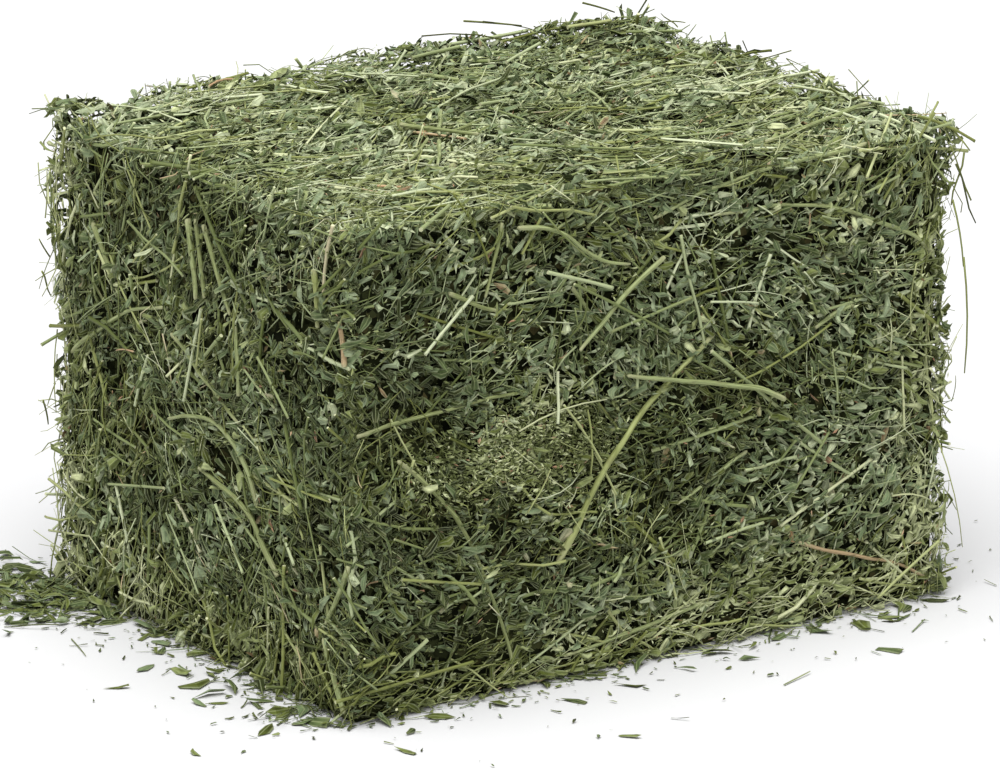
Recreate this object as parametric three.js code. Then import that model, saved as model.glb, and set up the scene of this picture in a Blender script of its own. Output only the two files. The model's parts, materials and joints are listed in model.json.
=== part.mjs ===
import * as THREE from 'three';
import { mergeVertices } from 'three/addons/utils/BufferGeometryUtils.js';

// A compressed square bale of lucerne hay, in millimetres, +Z up.
// The origin is on the floor under the middle of the bale. The long side runs along X, and the
// flakes, the slabs that the bale comes apart into, stand on edge one behind the other along Y.
// The thick loose stems that lie on its faces are pieces of their own.

// Driving dimensions of the pressed block.
const BALE_LENGTH = 511;
const BALE_DEPTH = 383;
const BALE_HEIGHT = 348;
const FLAKE_SHARES = [36, 41, 38, 44, 37, 40, 36, 43, 38, 35];

// Shape of a flake.
const FLAKE_GAP = 0.6;
const LENGTH_CELLS = 8;
const THICKNESS_CELLS = 3;
const HEIGHT_CELLS = 6;
const CORNER_RADIUS = 18;
const EDGE_RADIUS = 6;
const END_EDGE_RADIUS = 13;
const BASE_EDGE_RADIUS = 4;
const CROWN = 4;

// Lumps along a flake's rim, slow and quick, and the waves of a seam: how high they are, how many
// millimetres they take for one radian, and how far each flake's are turned from the last one's.
const LUMP_DEPTH = 3;
const SLOW_LUMP = { share: 0.3, run: 47, turn: 2.3 };
const QUICK_LUMP = { share: 0.2, run: 21, turn: 4.1 };
const SEAM_WAVE = 1.6;
const SEAM_WAVE_X = { run: 52, turn: 1.9 };
const SEAM_WAVE_Z = { run: 38, turn: 2.7 };

// How far a point on a sharp edge moves in to lie on a round one.
const ROUND_INSET = 1 - Math.SQRT1_2;

// Loose stems.
const STEM_GAP = 0.4;
const STEM_SIDES = 6;
const STEM_STEP_LENGTH = 24;
const STEM_MIN_STEPS = 3;
const LAYER_HEIGHT = 5.2;
const ROUTE_SAMPLES = 24;

const HALF_LENGTH = BALE_LENGTH / 2;
const HALF_DEPTH = BALE_DEPTH / 2;
const HALF_HEIGHT = BALE_HEIGHT / 2;

// --- Surface of the bale -------------------------------------------------------------------

// Height of the gentle crown on a face, where s and t run from -1 to 1 across it.
function crown(s, t) {
  return CROWN * Math.max(0, 1 - s * s) * Math.max(0, 1 - t * t);
}

// Each face gives the point on the bale for a place (u, v) on it, seen from outside, and the
// direction that it faces. u runs from the face's left end, and v from the floor, or on the top
// from the front edge.
const FACES = {
  front: {
    out: new THREE.Vector3(0, -1, 0),
    point(u, v) {
      const x = u - HALF_LENGTH;
      const rise = crown(x / HALF_LENGTH, (v - HALF_HEIGHT) / HALF_HEIGHT);
      return new THREE.Vector3(x, CROWN - rise - HALF_DEPTH, v);
    },
  },
  back: {
    out: new THREE.Vector3(0, 1, 0),
    point(u, v) {
      const x = HALF_LENGTH - u;
      const rise = crown(x / HALF_LENGTH, (v - HALF_HEIGHT) / HALF_HEIGHT);
      return new THREE.Vector3(x, HALF_DEPTH - CROWN + rise, v);
    },
  },
  left: {
    out: new THREE.Vector3(-1, 0, 0),
    point(u, v) {
      const y = HALF_DEPTH - u;
      const rise = crown(y / HALF_DEPTH, (v - HALF_HEIGHT) / HALF_HEIGHT);
      return new THREE.Vector3(CROWN - rise - HALF_LENGTH, y, v);
    },
  },
  right: {
    out: new THREE.Vector3(1, 0, 0),
    point(u, v) {
      const y = u - HALF_DEPTH;
      const rise = crown(y / HALF_DEPTH, (v - HALF_HEIGHT) / HALF_HEIGHT);
      return new THREE.Vector3(HALF_LENGTH - CROWN + rise, y, v);
    },
  },
  top: {
    out: new THREE.Vector3(0, 0, 1),
    point(u, v) {
      const x = u - HALF_LENGTH;
      const y = v - HALF_DEPTH;
      const rise = crown(x / HALF_LENGTH, y / HALF_DEPTH);
      return new THREE.Vector3(x, y, BALE_HEIGHT - CROWN + rise);
    },
  },
};

// --- Flakes --------------------------------------------------------------------------------

// Where the grid line number `index` of `cells` lies along an extent, with a narrow cell as wide
// as `rim` at each end.
function gridLine(index, cells, extent, rim) {
  if (index === 0) return 0;
  if (index === cells) return extent;
  return rim + ((extent - 2 * rim) * (index - 1)) / (cells - 2);
}

// A wave from -1 to 1 at a place along it, turned a little more for each flake or seam.
function wave({ run, turn }, number, along) {
  return Math.sin(along / run + number * turn);
}

// How far a flake's rim dips in at a place along it: each flake dips at places of its own.
function lump(flake, along) {
  const slow = SLOW_LUMP.share * wave(SLOW_LUMP, flake, along);
  const quick = QUICK_LUMP.share * wave(QUICK_LUMP, flake, along);
  return LUMP_DEPTH * (0.5 + slow + quick);
}

// The seam between two flakes waves a little, and both flakes follow it.
function seamWave(seam, x, z) {
  return SEAM_WAVE * (wave(SEAM_WAVE_X, seam, x) + wave(SEAM_WAVE_Z, seam, z));
}

// y of each seam, from the front face to the back face of the bale.
function seamPlanes() {
  const total = FLAKE_SHARES.reduce((sum, share) => sum + share, 0);
  const planes = [-HALF_DEPTH];
  for (const share of FLAKE_SHARES) {
    planes.push(planes[planes.length - 1] + (share / total) * BALE_DEPTH);
  }
  return planes;
}

// y of the flake's face on one side of it: a waving seam, or the crowned end of the bale.
function flakeFace(flake, planes, side, x, z) {
  const seam = flake + side;
  if (seam === 0) return FACES.front.point(x + HALF_LENGTH, z).y;
  if (seam === FLAKE_SHARES.length) return FACES.back.point(HALF_LENGTH - x, z).y;
  const inward = side === 0 ? FLAKE_GAP / 2 : -FLAKE_GAP / 2;
  return planes[seam] + seamWave(seam, x, z) + inward;
}

// One flake: a slab on edge with round corners, soft edges, a lumpy rim and a flat underside.
function flakeGeometry(flake, planes) {
  const box = new THREE.BoxGeometry(1, 1, 1, LENGTH_CELLS, THICKNESS_CELLS, HEIGHT_CELLS);
  box.deleteAttribute('normal');
  box.deleteAttribute('uv');
  const geometry = mergeVertices(box);
  const place = geometry.getAttribute('position');
  const last = FLAKE_SHARES.length - 1;
  for (let n = 0; n < place.count; n += 1) {
    const i = Math.round((place.getX(n) + 0.5) * LENGTH_CELLS);
    const j = Math.round((place.getY(n) + 0.5) * THICKNESS_CELLS);
    const k = Math.round((place.getZ(n) + 0.5) * HEIGHT_CELLS);
    const atLeft = i === 0;
    const atRight = i === LENGTH_CELLS;
    const atBase = k === 0;
    const atTop = k === HEIGHT_CELLS;
    let x = gridLine(i, LENGTH_CELLS, BALE_LENGTH, CORNER_RADIUS) - HALF_LENGTH;
    let z = gridLine(k, HEIGHT_CELLS, BALE_HEIGHT, CORNER_RADIUS);

    // Across the flake: the front face, a line one edge radius behind it, and the same behind.
    const side = j < THICKNESS_CELLS / 2 ? 0 : 1;
    const inward = side === 0 ? 1 : -1;
    const atEnd = (side === 0 && flake === 0) || (side === 1 && flake === last);
    const edgeRadius = atEnd ? END_EDGE_RADIUS : EDGE_RADIUS;
    const onFace = j === 0 || j === THICKNESS_CELLS;
    let y = flakeFace(flake, planes, side, x, z) + (onFace ? 0 : inward * edgeRadius);

    // The rim: crowned and lumpy at the ends and on top, flat underneath.
    const middle = (planes[flake] + planes[flake + 1]) / 2;
    if (atLeft) x = FACES.left.point(HALF_DEPTH - middle, z).x + lump(flake, z);
    if (atRight) x = FACES.right.point(HALF_DEPTH + middle, z).x - lump(flake + last + 1, z);
    if (atTop) z = FACES.top.point(x + HALF_LENGTH, middle + HALF_DEPTH).z - lump(flake, x);

    // Round corners where the ends meet the top and the underside.
    if ((atLeft || atRight) && (atTop || atBase)) {
      const cornerRadius = atBase ? BASE_EDGE_RADIUS : CORNER_RADIUS;
      x -= Math.sign(x) * ROUND_INSET * cornerRadius;
      z += (atBase ? 0 : -1) * ROUND_INSET * cornerRadius;
    }

    // Soft edges around both big faces.
    if (onFace && (atLeft || atRight)) {
      x -= Math.sign(x) * ROUND_INSET * edgeRadius;
    }
    if (onFace && atTop) {
      z -= ROUND_INSET * edgeRadius;
    }
    if (onFace && (atLeft || atRight || atTop || atBase)) {
      y += inward * ROUND_INSET * edgeRadius;
    }
    place.setXYZ(n, x, y, z);
  }
  geometry.computeVertexNormals();
  return geometry;
}

// --- Stems ---------------------------------------------------------------------------------

// The round outline of a stem.
function stemSection(diameter) {
  const points = [];
  for (let n = 0; n < STEM_SIDES; n += 1) {
    const angle = (n / STEM_SIDES) * 2 * Math.PI;
    points.push(new THREE.Vector2(Math.cos(angle), Math.sin(angle)).multiplyScalar(diameter / 2));
  }
  return new THREE.Shape(points);
}

// One stem lying on a face along a route of (u, v) places. A stem on a higher layer crosses over
// the ones below it.
function stemGeometry(faceName, { diameter, layer = 0, route }) {
  const face = FACES[faceName];
  const line = new THREE.CatmullRomCurve3(route.map(([u, v]) => new THREE.Vector3(u, v, 0)));
  const rise = STEM_GAP + diameter / 2 + layer * LAYER_HEIGHT;
  const onFace = line.getSpacedPoints(ROUTE_SAMPLES).map(
    (spot) => face.point(spot.x, spot.y).addScaledVector(face.out, rise),
  );
  const path = new THREE.CatmullRomCurve3(onFace);
  const steps = Math.max(STEM_MIN_STEPS, Math.ceil(line.getLength() / STEM_STEP_LENGTH));
  return new THREE.ExtrudeGeometry(stemSection(diameter), { steps, extrudePath: path });
}

// The loose stems on each face.
const STEMS = {
  front: [
    {
      diameter: 4.4, layer: 1, colour: 'pale',
      route: [[226, 214], [262, 205], [300, 196], [345, 183], [361, 174]],
    },
    {
      diameter: 5.0, colour: 'gold',
      route: [[304, 230], [268, 207], [244, 186], [214, 155], [191, 120], [172, 86]],
    },
    {
      diameter: 3.6, colour: 'green',
      route: [[40, 184], [71, 154], [90, 131], [110, 90], [129, 42], [136, 12]],
    },
    { diameter: 3.2, colour: 'tan', route: [[381, 62], [420, 47], [472, 29], [495, 15]] },
    {
      diameter: 3.6, colour: 'pale',
      route: [[250, 320], [296, 333], [342, 340], [396, 344], [436, 345]],
    },
    {
      diameter: 3.6, colour: 'pale',
      route: [[304, 314], [364, 312], [406, 305], [444, 288], [475, 275], [496, 258]],
    },
    { diameter: 3.0, colour: 'green', route: [[126, 338], [121, 314], [112, 288]] },
    { diameter: 3.4, colour: 'green', route: [[210, 340], [184, 304], [177, 292]] },
    {
      diameter: 3.6, layer: 1, colour: 'pale',
      route: [[136, 333], [167, 328], [190, 309], [212, 296], [228, 293]],
    },
    { diameter: 3.4, colour: 'green', route: [[182, 284], [210, 245]] },
    {
      diameter: 4.0, layer: 1, colour: 'pale',
      route: [[258, 294], [235, 281], [209, 259], [186, 238]],
    },
    { diameter: 4.0, colour: 'green', route: [[82, 294], [121, 276]] },
    { diameter: 3.2, colour: 'green', route: [[8, 206], [38, 210], [95, 214], [163, 217]] },
    { diameter: 3.6, colour: 'pale', route: [[178, 16], [216, 22], [258, 27], [303, 36]] },
    { diameter: 3.2, colour: 'pale', route: [[273, 112], [303, 127], [333, 139]] },
    { diameter: 4.2, colour: 'pale', route: [[390, 220], [424, 232]] },
  ],
  left: [
    { diameter: 5.0, colour: 'gold', route: [[341, 314], [344, 296], [347, 276]] },
    { diameter: 4.6, colour: 'tan', route: [[373, 286], [377, 255]] },
    { diameter: 5.0, colour: 'pale', route: [[184, 314], [190, 286], [196, 260]] },
    { diameter: 4.2, colour: 'green', route: [[192, 316], [199, 288], [206, 262]] },
    { diameter: 4.4, colour: 'green', route: [[203, 314], [223, 283], [238, 257]] },
    { diameter: 4.0, colour: 'pale', route: [[245, 252], [250, 203]] },
    { diameter: 3.6, colour: 'pale', route: [[23, 179], [68, 210], [113, 232], [151, 243]] },
    { diameter: 3.8, colour: 'pale', route: [[157, 163], [202, 178], [253, 161], [270, 129]] },
    { diameter: 4.4, colour: 'green', route: [[196, 138], [257, 124], [272, 109], [295, 85]] },
    { diameter: 3.4, colour: 'green', route: [[162, 228], [196, 209], [249, 183]] },
    { diameter: 4.6, colour: 'pale', route: [[381, 115], [368, 90], [353, 66]] },
    { diameter: 4.8, colour: 'pale', route: [[351, 56], [360, 33], [374, 7]] },
    { diameter: 4.4, colour: 'green', route: [[55, 282], [71, 262], [86, 245]] },
  ],
  top: [
    { diameter: 3.8, colour: 'pale', route: [[232, 232], [212, 205], [193, 177]] },
    { diameter: 3.2, colour: 'pale', route: [[188, 169], [169, 141], [148, 110]] },
    { diameter: 3.2, colour: 'green', route: [[199, 176], [242, 196]] },
    { diameter: 3.6, layer: 1, colour: 'green', route: [[177, 202], [190, 174], [206, 146]] },
    { diameter: 3.0, colour: 'green', route: [[181, 173], [156, 147], [128, 124]] },
    { diameter: 4.2, colour: 'pale', route: [[374, 38], [453, 68], [500, 86]] },
    { diameter: 4.0, colour: 'pale', route: [[280, 328], [321, 263]] },
    { diameter: 3.6, colour: 'green', route: [[74, 101], [91, 111], [125, 119]] },
  ],
  back: [
    { diameter: 4.0, colour: 'pale', route: [[60, 250], [130, 230], [210, 236], [270, 220]] },
    { diameter: 4.4, colour: 'green', route: [[330, 300], [360, 240], [372, 170]] },
    { diameter: 3.6, colour: 'green', route: [[120, 60], [200, 80], [300, 74]] },
    { diameter: 3.8, colour: 'gold', route: [[420, 120], [465, 90], [490, 50]] },
  ],
  right: [
    { diameter: 4.0, colour: 'pale', route: [[60, 285], [120, 260], [190, 248]] },
    { diameter: 4.4, colour: 'green', route: [[250, 200], [262, 140], [300, 80]] },
    { diameter: 3.6, colour: 'pale', route: [[90, 60], [170, 84], [240, 70]] },
  ],
};

// --- Materials -----------------------------------------------------------------------------

const STEM_COLOURS = { pale: 0xa9b27a, green: 0x7d8a52, gold: 0x9aa044, tan: 0xb89a6a };
const HAY_COLOUR = 0x5b6346;
const HAY_ROUGHNESS = 0.9;
const STEM_ROUGHNESS = 0.6;

function hayMaterial() {
  return new THREE.MeshStandardMaterial({
    color: HAY_COLOUR,
    roughness: HAY_ROUGHNESS,
    metalness: 0,
  });
}

function stemMaterial(colour) {
  return new THREE.MeshStandardMaterial({
    color: STEM_COLOURS[colour],
    roughness: STEM_ROUGHNESS,
    metalness: 0,
  });
}

// --- The bale ------------------------------------------------------------------------------

function numbered(word, index) {
  return `${word}_${String(index + 1).padStart(2, '0')}`;
}

function makeFlakes() {
  const planes = seamPlanes();
  return FLAKE_SHARES.map((share, flake) => {
    const mesh = new THREE.Mesh(flakeGeometry(flake, planes), hayMaterial());
    mesh.name = numbered('flake', flake);
    return mesh;
  });
}

function makeStems(faceName) {
  return STEMS[faceName].map((stem, index) => {
    const mesh = new THREE.Mesh(stemGeometry(faceName, stem), stemMaterial(stem.colour));
    mesh.name = numbered(`stem_${faceName}`, index);
    return mesh;
  });
}

const bale = new THREE.Group();
bale.add(...makeFlakes());
for (const faceName of Object.keys(STEMS)) {
  bale.add(...makeStems(faceName));
}

export default bale;
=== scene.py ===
import json
import math
from collections import namedtuple

import bmesh
import bpy
import numpy as np
from bpy.props import FloatProperty, FloatVectorProperty, IntProperty, PointerProperty
from mathutils import Euler, Matrix, Vector
from mathutils.kdtree import KDTree


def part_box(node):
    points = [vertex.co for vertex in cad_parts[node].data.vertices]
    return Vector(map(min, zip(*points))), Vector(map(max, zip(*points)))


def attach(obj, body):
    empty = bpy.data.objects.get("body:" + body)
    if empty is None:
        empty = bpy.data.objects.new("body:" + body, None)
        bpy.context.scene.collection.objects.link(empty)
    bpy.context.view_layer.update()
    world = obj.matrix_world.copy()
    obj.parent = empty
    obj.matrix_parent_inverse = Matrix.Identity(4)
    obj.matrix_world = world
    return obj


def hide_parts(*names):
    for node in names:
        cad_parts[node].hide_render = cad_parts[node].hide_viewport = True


bl_info = {
    "name": "Square hay bale",
    "version": (1, 0, 0),
    "blender": (4, 5, 0),
    "location": "3D View > Sidebar > Hay Bale",
    "description": "Covers the flakes of a pressed bale with dried leaves, stalks and chaff",
    "category": "Object",
}

# --- Frame ---------------------------------------------------------------------------------

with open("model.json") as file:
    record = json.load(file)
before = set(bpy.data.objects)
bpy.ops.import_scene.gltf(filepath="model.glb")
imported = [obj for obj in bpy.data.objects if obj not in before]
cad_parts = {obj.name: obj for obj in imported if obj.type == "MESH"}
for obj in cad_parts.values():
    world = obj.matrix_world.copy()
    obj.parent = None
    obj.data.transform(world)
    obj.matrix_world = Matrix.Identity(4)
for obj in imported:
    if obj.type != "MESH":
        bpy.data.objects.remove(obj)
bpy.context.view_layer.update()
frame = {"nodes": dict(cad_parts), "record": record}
FLAKES = sorted(name for name in frame["nodes"] if name.startswith("flake_"))
LOOSE_STEMS = sorted(name for name in frame["nodes"] if name.startswith("stem_"))
FLAKE_BOXES = [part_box(name) for name in FLAKES]
SEAMS = [(near[1].y + far[0].y) / 2 for near, far in zip(FLAKE_BOXES, FLAKE_BOXES[1:])]

MM = 0.001
DEGREE = math.pi / 180

# The loose hay lies over the solid flakes by this much. It is round along its edges, and its
# faces crown.
COVER = (3.5 * MM, 4.5 * MM, 5 * MM)
EDGE_ROUND = 10 * MM
BASE_ROUND = 4 * MM
CROWN = 4 * MM
SURFACE_DROP = 1 * MM
RELIEF_BENEATH = 0.15
SOLID_LOW = np.array([min(low[axis] for low, high in FLAKE_BOXES) for axis in range(3)])
SOLID_HIGH = np.array([max(high[axis] for low, high in FLAKE_BOXES) for axis in range(3)])
LOW = SOLID_LOW - (COVER[0], COVER[1], 0)
HIGH = SOLID_HIGH + COVER
SIZE = HIGH - LOW

# --- Settings ------------------------------------------------------------------------------

LENGTH = {"unit": "LENGTH", "subtype": "DISTANCE"}
ANGLE = {"unit": "ROTATION", "subtype": "ANGLE"}


class HaySettings(bpy.types.PropertyGroup):
    seed: IntProperty(name="Seed", description="Which scatter of hay is laid", default=7, min=0)
    leaves: IntProperty(name="Leaves", description="Leaf pieces on the bale", default=38000, min=0)
    whole_leaves: IntProperty(
        name="Whole leaves", description="Leaflets that kept their shape", default=2400, min=0
    )
    chaff: IntProperty(name="Chaff", description="Crushed bits of leaf and stalk", default=30000, min=0)
    crushed: IntProperty(
        name="Crushed bits", description="Fine bits in the crushed patch", default=4600, min=0
    )
    stalks: IntProperty(name="Thin stalks", description="Thin stalks and tendrils", default=6000, min=0)
    stems: IntProperty(name="Stems", description="Chopped stems of full thickness", default=850, min=0)
    wisps: IntProperty(
        name="Wisps", description="Long wisps sprung loose along the edges", default=42, min=0
    )
    crumbs: IntProperty(
        name="Crumbs", description="Crumbs on the floor round the foot", default=1500, min=0
    )
    fluff: FloatProperty(
        name="Fluff", description="Share of the pieces that stand out from the faces", default=0.05,
        min=0, max=1, subtype="FACTOR",
    )
    leaf_length: FloatProperty(
        name="Leaf length", description="Middle length of a leaf piece", default=9.6 * MM, **LENGTH
    )
    stalk_length: FloatProperty(
        name="Stalk length", description="Middle length of a thin stalk", default=30 * MM, **LENGTH
    )
    stem_length: FloatProperty(
        name="Stem length", description="Middle length of a stem", default=52 * MM, **LENGTH
    )


class StudioSettings(bpy.types.PropertyGroup):
    azimuth: FloatProperty(
        name="Camera azimuth", description="Where the camera stands round the bale",
        default=-34.42 * DEGREE, **ANGLE,
    )
    elevation: FloatProperty(
        name="Camera elevation", description="How high above the horizon the camera stands",
        default=16.85 * DEGREE, **ANGLE,
    )
    distance: FloatProperty(
        name="Camera distance", description="From the camera to the middle of the bale",
        default=5.16, **LENGTH,
    )
    lens: FloatProperty(name="Lens", description="Focal length", default=260.5, unit="CAMERA")
    daylight: FloatProperty(
        name="Fill", description="Strength of the white surroundings", default=0.45, min=0
    )
    panel: FloatProperty(
        name="Light panel", description="Strength of the wide soft light overhead", default=4.75, min=0
    )
    panel_spread: FloatProperty(
        name="Panel width", description="How wide the light panel looks from the bale",
        default=62 * DEGREE, **ANGLE,
    )
    floor_colour: FloatVectorProperty(
        name="Floor colour", description="Colour of the studio floor", default=(0.585, 0.585, 0.59),
        size=3, subtype="COLOR", min=0, max=1,
    )


# --- Node helpers --------------------------------------------------------------------------


def new_tree(name):
    """The node tree of a new material."""
    material = bpy.data.materials.new(name)
    material.use_nodes = True
    return material.node_tree


def plug(tree, sockets, values):
    """Links each value that is a socket, and sets the others."""
    for socket, value in zip(sockets, values):
        if isinstance(value, bpy.types.NodeSocket):
            tree.links.new(value, socket)
        else:
            socket.default_value = value


def add_node(tree, kind, settings=None, **links):
    """A node with its settings made and its inputs set or linked, by input name."""
    node = tree.nodes.new(kind)
    for name, value in (settings or {}).items():
        setattr(node, name, value)
    plug(tree, [node.inputs[name.replace("_", " ")] for name in links], links.values())
    return node


def maths(tree, operation, a, b=0.0):
    """One sum: its result socket."""
    node = tree.nodes.new("ShaderNodeMath")
    node.operation = operation
    plug(tree, node.inputs, (a, b))
    return node.outputs["Value"]


def blend_colours(tree, way, share, a, b):
    """Two colours blended: the result socket."""
    node = tree.nodes.new("ShaderNodeMix")
    node.data_type = "RGBA"
    node.blend_type = way
    plug(tree, (node.inputs[0], node.inputs[6], node.inputs[7]), (share, a, b))
    return node.outputs[2]


def remapped(tree, value, low=0, high=1, to_low=0, to_high=1):
    """A value moved from one range to another and held at its ends: the result socket."""
    ends = {"From_Min": low, "From_Max": high, "To_Min": to_low, "To_Max": to_high}
    return add_node(tree, "ShaderNodeMapRange", Value=value, **ends).outputs["Result"]


def ramp(tree, value, stops):
    """A colour ramp through (position, colour) stops: its colour socket."""
    node = add_node(tree, "ShaderNodeValToRGB", Fac=value)
    elements = node.color_ramp.elements
    for index, (position, colour) in enumerate(stops):
        element = elements[index] if index < 2 else elements.new(position)
        element.position = position
        element.color = (*colour, 1)
    return node.outputs["Color"]


def grain(tree, card, across, along, detail):
    """Noise over a card, finer the more it is scaled across and along."""
    drawn_out = add_node(tree, "ShaderNodeMapping", Vector=card, Scale=(across, along, 1))
    noise = add_node(tree, "ShaderNodeTexNoise", Vector=drawn_out.outputs[0], Scale=1, Detail=detail)
    return noise.outputs["Fac"]


def waves(tree, card, way, scale, distortion=0.0):
    """Fine ribs or veins over a card."""
    settings = {"bands_direction": way}
    wave = add_node(tree, "ShaderNodeTexWave", settings, Vector=card, Scale=scale, Distortion=distortion)
    return wave.outputs["Fac"]


def finish_paint(tree, colour, roughness, specular, height=None, strength=0.0, depth=0.0):
    """Gives the shader its colour, its gloss and, where there is a height, its bump."""
    shader = tree.nodes["Principled BSDF"].inputs
    plug(tree, (shader["Base Color"], shader["Roughness"]), (colour, roughness))
    shader["Specular IOR Level"].default_value = specular
    if height is not None:
        bump = add_node(tree, "ShaderNodeBump", Strength=strength, Distance=depth, Height=height)
        tree.links.new(bump.outputs["Normal"], shader["Normal"])


# --- Materials -----------------------------------------------------------------------------

# Every leaf, stalk and stem is coloured from a card of tones in its UV map: the column is the
# piece's tone, from dark to bleached, a row is one of a few alike, and inside its own patch of
# the card a piece runs from side to side and from end to end.
CARD = "OFBake"
CARD_EDGE = 0.06
TONES = 32
ROWS = 8
END_BAND = 0.08

LEAF_TONES = (
    (0.0, (0.007, 0.010, 0.001)),
    (0.2, (0.024, 0.034, 0.005)),
    (0.42, (0.062, 0.089, 0.029)),
    (0.62, (0.131, 0.177, 0.088)),
    (0.8, (0.256, 0.308, 0.188)),
    (0.9, (0.392, 0.430, 0.272)),
    (0.96, (0.240, 0.160, 0.085)),
    (1.0, (0.200, 0.095, 0.060)),
)
OLIVE_LEAF_TONES = (
    (0.0, (0.008, 0.011, 0.001)),
    (0.2, (0.032, 0.041, 0.003)),
    (0.42, (0.086, 0.107, 0.020)),
    (0.62, (0.159, 0.190, 0.062)),
    (0.8, (0.272, 0.310, 0.142)),
    (0.9, (0.400, 0.430, 0.236)),
    (0.96, (0.270, 0.190, 0.090)),
    (1.0, (0.220, 0.125, 0.060)),
)
CHAFF_TONES = (
    (0.0, (0.013, 0.018, 0.002)),
    (0.3, (0.061, 0.077, 0.017)),
    (0.6, (0.185, 0.217, 0.080)),
    (0.8, (0.388, 0.430, 0.210)),
    (0.92, (0.580, 0.620, 0.380)),
    (0.96, (0.420, 0.270, 0.160)),
    (1.0, (0.300, 0.150, 0.090)),
)
STALK_TONES = (
    (0.0, (0.031, 0.040, 0.005)),
    (0.3, (0.098, 0.124, 0.029)),
    (0.55, (0.208, 0.252, 0.096)),
    (0.78, (0.376, 0.432, 0.230)),
    (0.9, (0.556, 0.605, 0.390)),
    (1.0, (0.500, 0.350, 0.200)),
)
OLIVE_STALK_TONES = (
    (0.0, (0.033, 0.042, 0.004)),
    (0.3, (0.112, 0.131, 0.023)),
    (0.55, (0.238, 0.268, 0.080)),
    (0.78, (0.398, 0.434, 0.196)),
    (0.9, (0.568, 0.596, 0.356)),
    (1.0, (0.460, 0.290, 0.160)),
)


Patch = namedtuple("Patch", "card tone row across along")


def card_patch(tree):
    """The card, a piece's tone and row on it, and the place across and along inside its own patch."""
    card = add_node(tree, "ShaderNodeUVMap", {"uv_map": CARD}).outputs["UV"]
    split = add_node(tree, "ShaderNodeSeparateXYZ", Vector=card).outputs
    inner = 1 / (1 - 2 * CARD_EDGE)
    inside = []
    for place, patches_there in ((split["X"], TONES), (split["Y"], ROWS)):
        part = maths(tree, "FRACT", maths(tree, "MULTIPLY", place, patches_there))
        inside.append(maths(tree, "MULTIPLY", maths(tree, "SUBTRACT", part, CARD_EDGE), inner))
    return Patch(card, split["X"], split["Y"], *inside)


def toned(tree, patch, tones, olive_tones):
    """A piece's own tone: from the plain tones on the lower rows and the olive ones above."""
    upper = maths(tree, "GREATER_THAN", patch.row, 0.5)
    plain, olive = (ramp(tree, patch.tone, stops) for stops in (tones, olive_tones))
    return blend_colours(tree, "MIX", upper, plain, olive)


MIDRIB_COLOUR = (0.25, 0.28, 0.14, 1)
RIM_COLOUR = (0.25, 0.28, 0.16, 1)
BROWNED_TIP = (0.19, 0.195, 0.09, 1)
BROKEN_END = (0.39, 0.41, 0.19, 1)
WORN_BROWN = (0.22, 0.17, 0.085, 1)
CUT_END = (0.6, 0.61, 0.38, 1)


def dried_leaf(name):
    """Matt dried leaf: a paler midrib and rim, mottling that is partly painted light and shade of its
    folds, and a browned tip.
    """
    tree = new_tree(name)
    patch = card_patch(tree)
    base = toned(tree, patch, LEAF_TONES, OLIVE_LEAF_TONES)
    # Mottling and painted fold shade: strong light and dark streaks along the leaf stand for the light and
    # shade on its crumpled folds.
    mottle = remapped(tree, grain(tree, patch.card, 5 * TONES, 2.5 * ROWS, 3), 0.3, 0.7, 0.45, 1.6)
    mottled = blend_colours(tree, "MULTIPLY", 1.0, base, mottle)
    off_midrib = maths(tree, "ABSOLUTE", maths(tree, "SUBTRACT", patch.across, 0.5))
    midrib = maths(tree, "MULTIPLY", maths(tree, "LESS_THAN", off_midrib, 0.05), 0.5)
    ribbed = blend_colours(tree, "MIX", midrib, mottled, MIDRIB_COLOUR)
    rim = remapped(tree, off_midrib, 0.27, 0.36, to_high=0.55)
    rimmed = blend_colours(tree, "MIX", rim, ribbed, RIM_COLOUR)
    tip = maths(tree, "MULTIPLY", maths(tree, "POWER", patch.along, 6.0), 0.35)
    colour = blend_colours(tree, "MIX", tip, rimmed, BROWNED_TIP)
    veins = waves(tree, patch.card, "Y", 4 * ROWS, 2)
    finish_paint(tree, colour, 0.72, 0.16, veins, 0.25, 0.4 * MM)


def chopped_bits(name):
    """Crushed leaf and stalk, each bit one tone with a paler broken end."""
    tree = new_tree(name)
    patch = card_patch(tree)
    base = ramp(tree, patch.tone, CHAFF_TONES)
    mottle = remapped(tree, grain(tree, patch.card, 4 * TONES, 4 * ROWS, 1), to_low=0.6, to_high=1.4)
    mottled = blend_colours(tree, "MULTIPLY", 1.0, base, mottle)
    broken = maths(tree, "MULTIPLY", maths(tree, "POWER", patch.along, 4.0), 0.4)
    finish_paint(tree, blend_colours(tree, "MIX", broken, mottled, BROKEN_END), 0.65, 0.18)


def dried_stalk(name):
    """A dry ribbed stalk: streaked along, mottled, with pale cut ends."""
    tree = new_tree(name)
    patch = card_patch(tree)
    base = toned(tree, patch, STALK_TONES, OLIVE_STALK_TONES)
    streak = remapped(tree, grain(tree, patch.card, 9 * TONES, 1.5 * ROWS, 3), to_low=0.6, to_high=1.4)
    streaked = blend_colours(tree, "MULTIPLY", 1.0, base, streak)
    worn = remapped(tree, grain(tree, patch.card, 2 * TONES, 4 * ROWS, 1), 0.58, 0.75, to_high=0.3)
    browned = blend_colours(tree, "MIX", worn, streaked, WORN_BROWN)
    end = maths(tree, "MULTIPLY", maths(tree, "LESS_THAN", patch.along, END_BAND), 0.8)
    colour = blend_colours(tree, "MIX", end, browned, CUT_END)
    finish_paint(tree, colour, 0.5, 0.3, waves(tree, patch.card, "X", 1.6 * TONES), 0.3, 0.4 * MM)


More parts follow.
